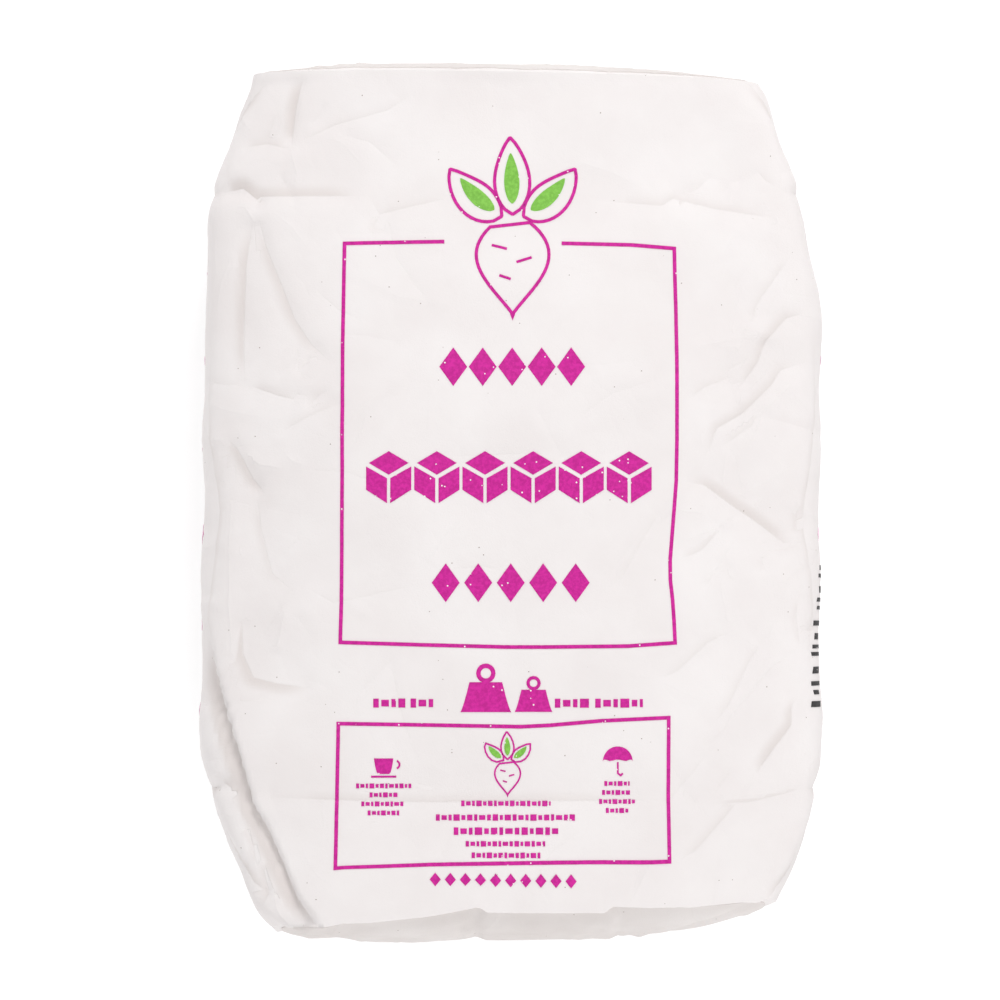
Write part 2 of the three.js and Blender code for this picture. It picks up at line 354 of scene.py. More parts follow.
roughPlaces = [  # x, y and reach of the parts of the front that are crumpled most
    (178, 110, 62),
    (150, -15, 58),
    (168, -135, 66),
    (-172, 60, 52),
    (-164, -75, 58),
    (-165, 230, 52),
    (160, 215, 46),
    (-160, -240, 46),
]

frontLip = [  # how far the bottom fold of the front strays from an even line, along x
    (-172, 0), (-160, -3), (-149, -4.5), (-138, -5), (-131, -6.2), (-127, -7.2), (-122, -7.2), (-95, -5.7),
    (-73, -2.7), (-50, 0.5), (-30, 4.4), (-22, 6.1), (-16, 2.4), (32, 0.8), (62, -0.2), (68, 4), (93, 2.5),
    (120, -0.8), (165, -0.9), (172, 2),
]

endStray = [  # how far the whole bottom end strays from an even line, along x
    (-172, -9.5), (-160, -6.8), (-148, -2.7), (-112, 2.2), (-60, -0.3), (-8, -2), (52, -2.9), (93, -4.4),
    (113, -2.8), (153, -1.7), (172, -3.5),
]

sideSwells = [  # side, place along the sack, reach and height of swellings of the two sides
    (1, 125, 55, 4.5),
    (1, -190, 60, -2.5),
    (-1, 196, 24, 3.0),
    (-1, 132, 36, -2.5),
    (-1, -165, 40, 2.8),
]

hollows = [  # x, y, reach, depth of broad hollows in the front
    (-150, 95, 46, 2.0),
    (-176, -30, 52, 3.5),
    (155, 122, 44, 3.0),
    (150, -12, 50, 5.0),
    (168, -128, 46, 4.0),
    (-158, -108, 24, 2.2),
    (-100, 40, 62, -2.5),
    (90, 70, 66, -2.0),
    (60, -150, 60, -2.0),
]


def creaseDepth(a, b, crease, power):
    # how deep one crease presses at places (a, b) of its view, the distance to its line,
    # negative above it or on its left, and how sharp the line is there
    path, depth, leftWidth, rightWidth = crease
    path = np.array(path, float)
    steps = np.diff(path, axis=0)
    lengths = np.hypot(*steps.T)
    total = lengths.sum()
    nearest = np.full(a.shape, 1e9)
    side = np.ones(a.shape)
    place = np.zeros(a.shape)
    walked = 0.0
    for start, step, length in zip(path[:-1], steps, lengths):
        da, db = a - start[0], b - start[1]
        t = clamp((da * step[0] + db * step[1]) / length ** 2)
        away = np.hypot(da - t * step[0], db - t * step[1])
        closer = away < nearest
        nearest = np.where(closer, away, nearest)
        side = np.where(closer, step[0] * db - step[1] * da, side)
        place = np.where(closer, walked + t * length, place)
        walked += length
    width = np.where(side > 0, leftWidth, rightWidth)
    fromTip = np.minimum(place, total - place) / total
    pressed = depth * ease(fromTip / 0.22 + 0.2) * clamp(1 - nearest / (2.6 * width)) ** power
    reach = creaseForm["lineReach"] + 0.7 * abs(depth)
    sharp = depth * ease(fromTip / 0.3) * clamp(1 - nearest / reach)
    # the side above or on the left gets the negative distance, and with it the painted shade of the paper's
    # finish
    leftIsAbove = (path[-1] - path[0]).sum() > 0
    return pressed, np.where((side > 0) != leftIsAbove, nearest, -nearest), sharp


def pressAll(a, b, creases, power):
    # depth of all creases together, and the line of the sharpest of them
    depth = np.zeros(a.shape)
    line = np.zeros((2, *a.shape))
    for crease in creases:
        path = np.array(crease[0], float)
        reach = 3 * max(crease[2], crease[3])
        near = (a > path[:, 0].min() - reach) & (a < path[:, 0].max() + reach)
        near &= (b > path[:, 1].min() - reach) & (b < path[:, 1].max() + reach)
        pressed, offset, sharp = creaseDepth(a[near], b[near], crease, power)
        depth[near] += pressed
        line[:, near] = sharper(line[:, near], np.stack([offset, sharp]))
    return depth, line


def sharper(line, other):
    return np.where(np.abs(other[1]) > np.abs(line[1]), other, line)


def facetHeight(a, b, size, rng):
    # flat facets with straight folds between them: random heights at the corners of a
    # triangle lattice, which is bent so that no two facets are alike
    wave = 2 * math.pi / (3.1 * size)
    bend = creaseForm["bend"] * size / 2
    turns = rng.uniform(0, 2 * math.pi, 4)
    table = rng.uniform(-1, 1, (64, 64))
    a, b = (
        a + bend * (np.sin(b * wave + turns[0]) + np.sin(a * wave * 0.7 + turns[1])),
        b + bend * (np.sin(a * wave * 1.1 + turns[2]) + np.sin(b * wave * 0.8 + turns[3])),
    )
    skew = (a + b) * 0.366
    u, v = (a + skew) / size, (b + skew) / size
    i, j = np.floor(u).astype(int), np.floor(v).astype(int)
    f, g = u - i, v - j
    low, high = table[i % 64, j % 64], table[(i + 1) % 64, (j + 1) % 64]
    beside = np.where(f > g, table[(i + 1) % 64, j % 64], table[i % 64, (j + 1) % 64])
    return low + (beside - low) * np.maximum(f, g) + (high - beside) * np.minimum(f, g)


def crumple(paper, y, rough, rng):
    height = np.zeros(paper.shape)
    for size, tall in creaseForm["facets"]:
        height += tall * facetHeight(paper, y, size, rng)
    return height * rough


def roughness(x, y, front):
    # 1 where the paper is crumpled most, less on the middle of the front
    rough = np.zeros(x.shape)
    for cx, cy, reach in roughPlaces:
        rough = np.maximum(rough, np.exp(-((x - cx) ** 2 + (y - cy) ** 2) / reach ** 2))
    onFront = mixTo(creaseForm["calm"], 1.0, rough)
    return mixTo(1.0, onFront, front)


def looseCrease(rng, middle, length, turn, depth, widths):
    # one short crease, slightly bent, a valley or a ridge
    along = 0.5 * length * np.array([math.cos(turn), math.sin(turn)])
    bow = rng.uniform(-0.25, 0.25) * np.array([-along[1], along[0]])
    deep = depth[1] * rng.uniform(depth[0], 1.0) * rng.choice([1, -1])
    return ([middle - along, middle + bow, middle + along], deep, *rng.uniform(*widths, 2))


def strewnCreases(rng, face, halfA, rangeB):
    # short random creases, thicker towards the rim of the face
    count, evenness = creaseForm["strewn"][face]
    creases = []
    for _ in range(count):
        a = halfA * np.sign(rng.uniform(-1, 1)) * rng.uniform(0, 1) ** evenness
        b = rng.uniform(*rangeB)
        length = rng.uniform(*creaseForm["lengths"])
        turn = rng.uniform(0, math.pi)
        middle = np.array([a, b])
        creases.append(looseCrease(rng, middle, length, turn, creaseForm["depths"], creaseForm["widths"]))
    return creases


def crowsFeet(rng):
    # small creases that run together where the paper is crumpled most
    creases = []
    for cx, cy, reach in roughPlaces:
        for _ in range(creaseForm["footCount"]):
            away = reach * math.sqrt(rng.uniform(0.02, 1.0))
            heading = rng.uniform(0, 2 * math.pi)
            turn = heading + rng.uniform(-0.9, 0.9)
            length = rng.uniform(*creaseForm["footLengths"])
            middle = np.array([cx + away * math.cos(heading), cy + away * math.sin(heading)])
            creases.append(
                looseCrease(rng, middle, length, turn, creaseForm["footDepths"], creaseForm["footWidths"])
            )
    return creases


def slowSwell(place, rng):
    # soft waves that run in a few random directions
    count, shortest, longest = creaseForm["swellWaves"]
    swell = np.zeros(place.shape[:2])
    for _ in range(count):
        heading = rng.normal(size=3)
        heading /= np.linalg.norm(heading)
        wave = rng.uniform(shortest, longest)
        swell += np.sin(place @ heading * 2 * math.pi / wave + rng.uniform(0, 2 * math.pi))
    return creaseForm["swell"] * swell / 4


def seamHeight(paper):
    # the tube's glued lap: it rises slowly towards the middle of the back and ends there
    lap, rise = creaseForm["seam"]
    half = paper.max(axis=1, keepdims=True)
    return rise * clamp(1 - (half - paper) / lap)


def strayLip(wall):
    # the front paper's lower edge isn't straight, and the tucked corner swells out
    x, y, z = wall[..., 0], wall[..., 1], wall[..., 2]
    along, by = np.array(frontLip, float).T
    lipReach, lipDrop, endReach = creaseForm["strayReach"]
    nearEdge = ease(1 - (y - y[0]) / lipReach) * ease(1 - (sackForm["bellyHeight"] - z) / lipDrop)
    strayed = wall.copy()
    strayed[..., 1] += np.interp(x, along, by) * nearEdge
    along, by = np.array(endStray, float).T
    strayed[..., 1] += np.interp(x, along, by) * ease(1 - (y - y[0]) / endReach)
    return strayed


def pressWall(wall, normals, paper):
    rng = np.random.default_rng(creaseForm["seed"])
    x, y, z = wall[..., 0], wall[..., 1], wall[..., 2]
    front, back, right, left = (
        ease(normals[..., axis] * gain + start) for axis, gain, start in creaseForm["faces"]
    )
    half = sackForm["panelLength"] / 2
    wide = sackForm["bellyHalfWidth"]
    strewn = strewnCreases(rng, "front", wide, (-half, half))
    across, along = creaseForm["drawnFrom"]
    soft = creaseForm["softFade"]
    views = [
        (front, x + across, y + along, frontCreases + earCreases + strewn + crowsFeet(rng), soft),
        (front, x, y, cornerCreases, creaseForm["straightFade"]),
        (back, x, y, strewnCreases(rng, "back", wide, (-half, half)), soft),
    ]
    for face in (right, left):
        small = strewnCreases(rng, "side", half, creaseForm["sideHeights"])
        views.append((face, y, z, sideCreases + small, soft))
    fromEnd = np.minimum(y - y[0], y[-1] - y)
    towardsEnd = ease(fromEnd / 10 + 0.12)
    depth = np.zeros(x.shape)
    line = np.zeros((2, *x.shape))
    for share, a, b, creases, power in views:
        pressed, found = pressAll(a, b, creases, power)
        depth += share * pressed * (towardsEnd if power == soft else ease(fromEnd / 12 + 0.4))
        line = sharper(line, np.stack([found[0], found[1] * share]))
    for cx, cy, reach, deep in hollows:
        depth += towardsEnd * front * deep * np.exp(-((x - cx) ** 2 + (y - cy) ** 2) / reach ** 2)
    for side, cy, reach, tall in sideSwells:
        depth -= towardsEnd * (right if side > 0 else left) * tall * np.exp(-((y - cy) / reach) ** 2)
    fromBackMiddle = paper.max(axis=1, keepdims=True) - np.abs(paper)
    rough = crumple(paper, y, roughness(x, y, front), rng) * ease(fromBackMiddle / 30)
    depth += towardsEnd * (slowSwell(wall, rng) - rough)
    pastFold = ease((creaseForm["cornerEnd"] - x) / 16)
    depth += creaseForm["cornerRound"] * front * pastFold * clamp(1 - (y - y[0]) / 20) ** 2
    depth -= seamHeight(paper)
    overFloor = ease(z / creaseForm["flatFoot"])
    depth *= overFloor
    pressed = wall - normals * depth[..., None]
    pressed[..., 2] = np.maximum(pressed[..., 2], 0)
    line[1] *= overFloor
    return pressed, line


# End faces, spanned between the points of the first and the last ring

def rimIds():
    # places on a ring of an end's upper, lower, left and right edges
    across, down = np.arange(columns + 1), np.arange(levels + 1)
    upper = (ringSize - halfPanel + across) % ringSize
    lower = halfPanel + levels + columns - across
    return upper, lower, ringSize - halfPanel - down, halfPanel + down


def endGrid(ring, bulge):
    front, back, left, right = (ring[ids] for ids in rimIds())
    across = np.concatenate([0.5 - panelShares[:0:-1] / 2, 0.5 + panelShares / 2])[None, :, None]
    down = np.concatenate([0.5 - sideShares[:0:-1] / 2, 0.5 + sideShares / 2])[:, None, None]
    vertical = mixTo(front[None], back[None], down)
    sideways = mixTo(left[:, None], right[:, None], across)
    corners = mixTo(mixTo(front[0], front[-1], across), mixTo(back[0], back[-1], across), down)
    grid = vertical + sideways - corners
    pillow = (1 - (2 * across - 1) ** 4) * (1 - (2 * down - 1) ** 2)
    grid[..., 1] += bulge * pillow[..., 0]
    return grid


def grooveUnderLip(grid):
    # deepest under the middle of the front paper's edge, none at its corners
    x, z = grid[..., 0], grid[..., 2]
    below = np.maximum(z[:1] - z, 0)
    drawIn, under = sackForm["lipGroove"]
    deep = drawIn * below / under * np.exp(1 - below / under)
    drawn = grid.copy()
    drawn[..., 1] += deep * ease((x + 150) / 70) * ease((165 - x) / 90)
    return drawn


def pressEnd(grid, outward, seed):
    # soft crumples of the end face, none at its rim
    rng = np.random.default_rng(seed)
    x, z = grid[..., 0], grid[..., 2]
    creases = strewnCreases(rng, "end", sackForm["endHalfWidth"], creaseForm["endHeights"])
    depth, line = pressAll(x, z, endCreases + creases, creaseForm["softFade"])
    level = np.linspace(0, 1, grid.shape[0])[:, None]
    column = np.linspace(0, 1, grid.shape[1])[None]
    calm = ease(8 * np.minimum(level, 1 - level)) * ease(16 * np.minimum(column, 1 - column))
    pressed = grid.copy()
    pressed[..., 1] -= outward * 1.8 * depth * calm
    line[1] *= calm
    return pressed, line


# Meshes

def meshFrom(name, points, faces, material, uvs=None, smooth=True):
    mesh = bpy.data.meshes.new(name)
    mesh.from_pydata((np.asarray(points) * mm).tolist(), [], faces)
    mesh.validate()
    if uvs is not None:
        layer = mesh.uv_layers.new(name="paperUV")
        corners = np.empty(len(mesh.loops), dtype=np.int32)
        mesh.loops.foreach_get("vertex_index", corners)
        placed = uvs[corners].reshape(-1, 4, 2)
        torn = np.ptp(placed[..., 0], axis=1) > 0.5  # faces that cross the back seam of the map
        right = torn[:, None] & (placed[..., 0] > 0.5)
        placed[..., 0] = np.where(right, 1 - placed[..., 0], placed[..., 0])
        layer.data.foreach_set("uv", placed.astype(np.float32).ravel())
    mesh.polygons.foreach_set("use_smooth", [smooth] * len(mesh.polygons))
    mesh.materials.append(material)
    return placeObject(name, mesh)


def placeObject(name, data):
    piece = bpy.data.objects.new(name, data)
    scene.collection.objects.link(piece)
    return piece


def gridFaces(ids, outward):
    a, b = ids[:-1, :-1], ids[:-1, 1:]
    c, d = ids[1:, 1:], ids[1:, :-1]
    order = [a, b, c, d] if outward > 0 else [a, d, c, b]
    return np.stack(order, axis=-1).reshape(-1, 4).tolist()


def borderOf(grid):
    return grid[0], grid[-1], grid[:, 0], grid[:, -1]


def plateFaces(top, low, outward, closed=False):
    # both faces of a plate and its rim; closed has no first and last edge
    faces = gridFaces(top, outward) + gridFaces(low, -outward)
    rims = zip(borderOf(top), borderOf(low), (outward, -outward, -outward, outward))
    for upper, lower, turn in list(rims)[2 if closed else 0:]:
        faces += gridFaces(np.stack([upper, lower]), turn)
    return faces


def capIds(ring, start):
    # rim ids come from the wall's last ring, the others are new
    grid = np.zeros((levels + 1, columns + 1), dtype=int)
    inside = grid[1:-1, 1:-1]
    inside[:] = start + np.arange(inside.size).reshape(inside.shape)
    grid[0], grid[-1], grid[:, 0], grid[:, -1] = (ring[ids] for ids in rimIds())
    return grid


def paperUv(wall, paper, shift):
    # across by the paper's own length from the sack's middle, along by the sack's
    span = sackForm["uvSpan"]
    across = paper + wall[:, :1, 0] + shift[0] - sackForm["printShift"][0]
    along = wall[..., 1] + shift[1] - sackForm["printShift"][1]
    return np.stack([0.5 + across / span, 0.5 + along / span], axis=-1)


def makeSack(material):
    even, paper = evenWall()
    wall = strayLip(even)
    pressed, wallLine = pressWall(wall, wallNormals(wall), paper)
    bottom = grooveUnderLip(endGrid(pressed[0], -sackForm["bottomBulge"]))
    bottom, bottomLine = pressEnd(bottom, -1, 3)
    top, topLine = pressEnd(endGrid(pressed[-1], sackForm["topBulge"]), 1, 5)
    inner = np.s_[1:-1, 1:-1]  # an end's points without its rim, which the wall has
    points = np.concatenate([part.reshape(-1, 3) for part in (pressed, bottom[inner], top[inner])])
    shift = middleShift(points)
    points += shift
    ids = np.arange(pressed[..., 0].size).reshape(-1, ringSize)
    faces = gridFaces(np.concatenate([ids, ids[:, :1]], axis=1), 1)
    bottomIds = capIds(ids[0], ids.size)
    topIds = capIds(ids[-1], bottomIds.max() + 1)
    faces += gridFaces(bottomIds, -1) + gridFaces(topIds, 1)
    uvs = [paperUv(even, paper, shift).reshape(-1, 2)]
    for part, corner in ((bottom, "bottomUv"), (top, "topUv")):
        flat = part[inner][..., [0, 2]].reshape(-1, 2)
        uvs.append(flat / sackForm["uvSpan"] + sackForm[corner])
    piece = meshFrom("sackPaper", points, faces, material, np.concatenate(uvs))
    lines = [wallLine, bottomLine[:, 1:-1, 1:-1], topLine[:, 1:-1, 1:-1]]
    keepLines(piece, np.concatenate([line.reshape(2, -1) for line in lines], axis=1))
    x, y, z = points.T
    sharpenRims(piece, (bottomIds, topIds), (x < creaseForm["cornerEnd"]) & (y < 0) & (z > 60))
    print("shape moved by", shift.round(2))
    return piece, (bottom + shift, bottomLine), (top + shift, topLine)


def keepLines(piece, lines):
    # the crease lines for the paper's finish: signed distance in mm, and sharpness
    offset, sharp = lines
    values = np.column_stack([offset, np.tanh(sharp / 1.4), np.zeros(len(offset))])
    layer = piece.data.attributes.new("creaseLine", "FLOAT_VECTOR", "POINT")
    layer.data.foreach_set("vector", values.astype(np.float32).ravel())


def middleShift(points):
    # moves the made shape over the origin, as the solid is
    low, high = points.min(axis=0), points.max(axis=0)
    return np.array([-(low[0] + high[0]) / 2, -(low[1] + high[1]) / 2, 0])


def sharpenRims(piece, grids, rounded=None):
    # the rims of the grids stay crisp, apart from the rounded points
    mesh = piece.data
    onRim = np.zeros(len(mesh.vertices), dtype=bool)
    for grid in grids:
        onRim[np.concatenate(borderOf(grid))] = True
    if rounded is not None:
        onRim &= ~rounded
    ends = np.empty(2 * len(mesh.edges), dtype=np.int32)
    mesh.edges.foreach_get("vertices", ends)
    sharp = onRim[ends.reshape(-1, 2)].all(axis=1)
    mesh.attributes.new("sharp_edge", "BOOLEAN", "EDGE").data.foreach_set("value", sharp)


# Materials

def connect(tree, value, socket):
    # value is a number, a colour or the output that feeds the socket
    if isinstance(value, bpy.types.NodeSocket):
        tree.links.new(value, socket)
    else:
        socket.default_value = value


def fill(tree, sockets, values):
    for name, value in values.items():
        connect(tree, value, sockets[name])


def wire(tree, kind, inputs, output=0, **settings):
    # adds a node, fills its inputs by name or number, and gives one of its outputs
    node = tree.nodes.new(kind)
    for name, value in settings.items():
        setattr(node, name, value)
    fill(tree, node.inputs, inputs)
    return node.outputs[output]


def reckon(tree, operation, *values, clamped=False):
    inputs = dict(enumerate(values))
    return wire(tree, "ShaderNodeMath", inputs, operation=operation, use_clamp=clamped)


def reckonVector(tree, operation, inputs):
    return wire(tree, "ShaderNodeVectorMath", inputs, operation=operation)


def newGroup(name, inputs, outputs):
    # inputs have a first value each, None for a vector; outputs are numbers
    group = bpy.data.node_groups.new(name, "ShaderNodeTree")
    for label, value in inputs.items():
        kind = "NodeSocketVector" if value is None else "NodeSocketFloat"
        socket = group.interface.new_socket(label, in_out="INPUT", socket_type=kind)
        if value is not None:
            socket.default_value = value
    for label in outputs:
        group.interface.new_socket(label, in_out="OUTPUT", socket_type="NodeSocketFloat")
    return group, group.nodes.new("NodeGroupInput").outputs, group.nodes.new("NodeGroupOutput").inputs


def useGroup(tree, group, inputs):
    return wire(tree, "ShaderNodeGroup", inputs, node_tree=group).node.outputs


def rampOf(tree, source, look, deep, light):
    color = wire(tree, "ShaderNodeValToRGB", {"Fac": source}, "Color")
    for element, place, shade in zip(color.node.color_ramp.elements, look["toneSpan"], (deep, light)):
        element.position = place
        element.color = shade
    return color


def mixColor(tree, factor, first, second):
    inputs = {"Factor": factor, 6: first, 7: second}
    return wire(tree, "ShaderNodeMix", inputs, 2, data_type="RGBA")


grainForm = {
    "groupInputs": {"Vector": None, "Fibre Size": 900.0, "Crumple Size": 55.0},
    "fibre": {"Detail": 4.0, "Roughness": 0.6},
    "warp": {"Scale": 30.0, "Detail": 2.0},
    "warpBy": (0.02, 0.02, 0.02),
    "crumpleTop": 0.25,  # the crumple's facets are flat past this far from their edges
    "crumpleHeight": 2.2,
    "tone": {"Scale": 14.0, "Detail": 3.0, "Roughness": 0.55},
}


def grainGroup():
    # fibre lumps and crumple of the paper, as a height and as a slow change of tone
    form = grainForm
    group, given, ends = newGroup("paperGrain", form["groupInputs"], ["Height", "Tone"])
    place = {"Vector": given["Vector"]}
    noise = "ShaderNodeTexNoise"
    fibre = wire(group, noise, {**place, **form["fibre"], "Scale": given["Fibre Size"]}, "Fac")
    warp = wire(group, noise, {**place, **form["warp"]}, "Color")
    bent = reckonVector(group, "MULTIPLY_ADD", {0: warp, 1: form["warpBy"], 2: given["Vector"]})
    cells = {"Vector": bent, "Scale": given["Crumple Size"]}
    edge = wire(group, "ShaderNodeTexVoronoi", cells, "Distance", feature="DISTANCE_TO_EDGE")
    flat = reckon(group, "MINIMUM", edge, form["crumpleTop"])
    height = reckon(group, "MULTIPLY_ADD", flat, form["crumpleHeight"], fibre)
    fill(group, ends, {"Height": height, "Tone": wire(group, noise, {**place, **form["tone"]}, "Fac")})
    return group


foldForm = {
    "groupInputs": {"Half Width": 1.8},
    "sharpness": 1.8,  # power of the crease's flank
    "paintedShadePower": 3.0,  # the higher, the more the painted shade keeps to the deepest creases
    "paintedShadeSide": {"From Min": 0.8, "From Max": -0.4, "To Min": 0.0, "To Max": 1.0},
}


def foldGroup():
    # a sharp crease along the lines that the mesh carries, 0 away from them, and a painted shade
    # on one side of the deep ones: the side above or on the left, where the fold lies in shade
    form = foldForm
    group, given, ends = newGroup("foldLines", form["groupInputs"], ["Height", "Painted Shade"])
    carried = wire(group, "ShaderNodeAttribute", {}, "Vector", attribute_name="creaseLine")
    offset = wire(group, "ShaderNodeSeparateXYZ", {0: carried}, "X")
    deep = offset.node.outputs["Y"]
    share = reckon(group, "DIVIDE", reckon(group, "ABSOLUTE", offset), given["Half Width"])
    near = reckon(group, "SUBTRACT", 1.0, share, clamped=True)
    flank = reckon(group, "MULTIPLY", reckon(group, "POWER", near, form["sharpness"]), deep)
    # painted shade: strongest in deep valleys, on one side of the line only
    valley = reckon(group, "POWER", reckon(group, "MAXIMUM", deep, 0.0), form["paintedShadePower"])
    oneSide = wire(group, "ShaderNodeMapRange", {"Value": offset, **form["paintedShadeSide"]}, "Result")
    height, paintedFoldShade = reckon(group, "MULTIPLY", flank, -1.0), reckon(group, "MULTIPLY", valley, oneSide)
    fill(group, ends, {"Height": height, "Painted Shade": paintedFoldShade})
    return group


fleckForm = {
    "groupInputs": {"Vector": None, "Density": 260.0, "Size": 0.16, "Share": 0.93},
    "specks": {"Density": 330.0, "Size": 0.13, "Share": 0.982},
    "missedInk": {"Density": 520.0, "Size": 0.30, "Share": 0.965},
}


def fleckGroup():
    # sparse small flecks: 1 on a fleck, 0 elsewhere
    group, given, ends = newGroup("sparseFlecks", fleckForm["groupInputs"], ["Mask"])
    cells = {"Vector": given["Vector"], "Scale": given["Density"]}
    away = wire(group, "ShaderNodeTexVoronoi", cells, "Distance")
    draw = wire(group, "ShaderNodeSeparateColor", {"Color": away.node.outputs["Color"]})
    near = reckon(group, "LESS_THAN", away, given["Size"])
    chosen = reckon(group, "GREATER_THAN", draw, given["Share"])
    connect(group, reckon(group, "MULTIPLY", near, chosen), ends["Mask"])
    return group


def newMaterial(name, inputs):
    material = bpy.data.materials.new(name)
    material.use_nodes = True
    shader = material.node_tree.nodes["Principled BSDF"]
    fill(material.node_tree, shader.inputs, inputs)
    return material, material.node_tree, shader.inputs


def newFinish(name, look):
    # a matt material, and what its patterns follow
    material, tree, ends = newMaterial(name, {"Roughness": look["roughness"], "Specular IOR Level": 0.3})
    return material, tree, ends, {"Vector": wire(tree, "ShaderNodeTexCoord", {}, "Object")}


def bumpOf(tree, height, look):
    # the paper's grain on top of its sharp creases
    folds = useGroup(tree, foldLines, {})["Height"]
    sharp = {"Strength": 1.0, "Distance": look["foldDepth"], "Height": folds}
    creased = wire(tree, "ShaderNodeBump", sharp, "Normal")
    grainy = {"Strength": look["bump"], "Distance": look["bumpDepth"], "Height": height, "Normal": creased}
    return wire(tree, "ShaderNodeBump", grainy, "Normal")


paperGrain, foldLines, sparseFlecks = grainGroup(), foldGroup(), fleckGroup()

paperLook = {
    "light": (0.825, 0.790, 0.785, 1),
    "deep": (0.790, 0.748, 0.742, 1),
    "speck": (0.30, 0.24, 0.21, 1),
    # painted shade: a brownish darkening on one side of the deep creases, standing in for the shade in the
    # folds
    "paintedFoldShade": (0.50, 0.42, 0.38, 1),
    "paintedShadeShare": 0.34,
    "toneSpan": (0.35, 0.65),  # part of the slow noise over which deep turns to light
    "roughness": 0.78,
    "bump": 0.35,
    "bumpDepth": 0.0005,
    "foldDepth": 0.00029,
}


def makePaper(name, look):
    material, tree, ends, place = newFinish(name, look)
    grain = useGroup(tree, paperGrain, place)
    tone = rampOf(tree, grain["Tone"], look, look["deep"], look["light"])
    specks = useGroup(tree, sparseFlecks, {**place, **fleckForm["specks"]})["Mask"]
    color = mixColor(tree, specks, tone, look["speck"])
    # painted shade on one side of the deep creases, mixed into the paper's colour
    paintedFoldShade = reckon(tree, "MULTIPLY", useGroup(tree, foldLines, {})["Painted Shade"], look["paintedShadeShare"])
    color = mixColor(tree, paintedFoldShade, color, look["paintedFoldShade"])
    fill(tree, ends, {"Base Color": color, "Normal": bumpOf(tree, grain["Height"], look)})
    return material


inkLook = {
    "magenta": ((0.640, 0.018, 0.330, 1), (0.500, 0.010, 0.250, 1)),
    "green": ((0.240, 0.560, 0.085, 1), (0.180, 0.450, 0.060, 1)),
    "black": ((0.030, 0.028, 0.030, 1), (0.015, 0.014, 0.015, 1)),
    "paperShowing": (0.86, 0.80, 0.79, 1),
    "roughness": 0.6,
    "mottle": {"Scale": 420.0, "Detail": 3.0, "Roughness": 0.65},
    "toneSpan": (0.40, 0.62),
    "bump": 0.25,
    "bumpDepth": 0.0004,
    "foldDepth": paperLook["foldDepth"],
    "height": 0.3,  # the ink film's top over the paper, with as much sunk into it
}


def makeInk(name):
    light, deep = inkLook[name]
    material, tree, ends, place = newFinish(name + "Ink", inkLook)
    mottle = wire(tree, "ShaderNodeTexNoise", {**place, **inkLook["mottle"]}, "Fac")
    missed = useGroup(tree, sparseFlecks, {**place, **fleckForm["missedInk"]})["Mask"]
    color = mixColor(tree, missed, rampOf(tree, mottle, inkLook, deep, light), inkLook["paperShowing"])
    bump = bumpOf(tree, useGroup(tree, paperGrain, place)["Height"], inkLook)
    fill(tree, ends, {"Base Color": color, "Normal": bump})
    return material


# Flat artwork: closed plates in paper millimetres, laid on the sack afterwards

artStep = 1.6  # longest edge of an ink plate's faces


def newArt():
    return {"points": [], "faces": []}


def pathOf(x, y):
    # 2-D points; either may be one number for all of them
    return np.stack(np.broadcast_arrays(x, y), axis=-1)


def headingOf(turns):
    return pathOf(np.cos(turns), np.sin(turns))


def addPlate(art, grid, closed=False):
    # grid is rows of 2-D points; closed joins the last row to the first
    grid = np.asarray(grid, float)
    rows, across = grid.shape[:2]
    ring = grid[:2, :2].reshape(-1, 2)[[0, 1, 3, 2]]
    area = sum(p[0] * q[1] - q[0] * p[1] for p, q in zip(ring, np.roll(ring, -1, axis=0)))
    if area < 0:
        grid = grid[:, ::-1]
    start = sum(len(block) for block in art["points"])
    flat = grid.reshape(-1, 2)
    for level in (inkLook["height"], -inkLook["height"]):
        art["points"].append(np.column_stack([flat, np.full(len(flat), level)]))
    top = start + np.arange(rows * across).reshape(rows, across)
    if closed:
        top = np.concatenate([top, top[:1]])
    art["faces"] += plateFaces(top, top + rows * across, 1, closed)


def stepsFor(length):
    return max(1, int(math.ceil(length / artStep)))


def fillBetween(art, leftLine, rightLine):
    # two lines of as many points each, filled across
    leftLine, rightLine = np.asarray(leftLine, float), np.asarray(rightLine, float)
    widest = np.hypot(*(rightLine - leftLine).T).max()
    t = np.linspace(0, 1, stepsFor(widest) + 1)[None, :, None]
    addPlate(art, mixTo(leftLine[:, None], rightLine[:, None], t))


def evenLine(path):
    # points at even steps along a polyline, its corners kept nearly sharp
    path = np.asarray(path, float)
    pieces = []
    for p, q in zip(path[:-1], path[1:]):
        n = stepsFor(np.hypot(*(q - p)))
        pieces.append(mixTo(p, q, np.linspace(0, 1, n + 1)[:-1, None]))
    return np.concatenate(pieces + [path[-1:]])


def unit(vectors):
    return vectors / np.hypot(*vectors.T)[:, None]


def leftOf(vectors):
    return pathOf(-vectors[:, 1], vectors[:, 0])


def acrossSteps(width):
    return max(2, stepsFor(width)) + 1


def stroke(art, path, width, closed=False):
    line = evenLine(list(path) + [path[0]] if closed else path)
    if closed:
        line = line[:-1]
        before, after = np.roll(line, 1, axis=0), np.roll(line, -1, axis=0)
    else:
        before = np.concatenate([line[:1], line[:-1]])
        after = np.concatenate([line[1:], line[-1:]])
    back, on = line - before, after - line
    back = np.where(np.hypot(*back.T)[:, None] > 0, back, on)
    on = np.where(np.hypot(*on.T)[:, None] > 0, on, back)
    on = unit(on)
    across = leftOf(unit(unit(back) + on))
    stretch = 1 / np.maximum(0.45, (across * leftOf(on)).sum(axis=1))
    half = 0.5 * width * stretch[:, None] * across
    t = np.linspace(-1, 1, acrossSteps(width))[None, :, None]
    addPlate(art, line[:, None] + t * half[:, None], closed)


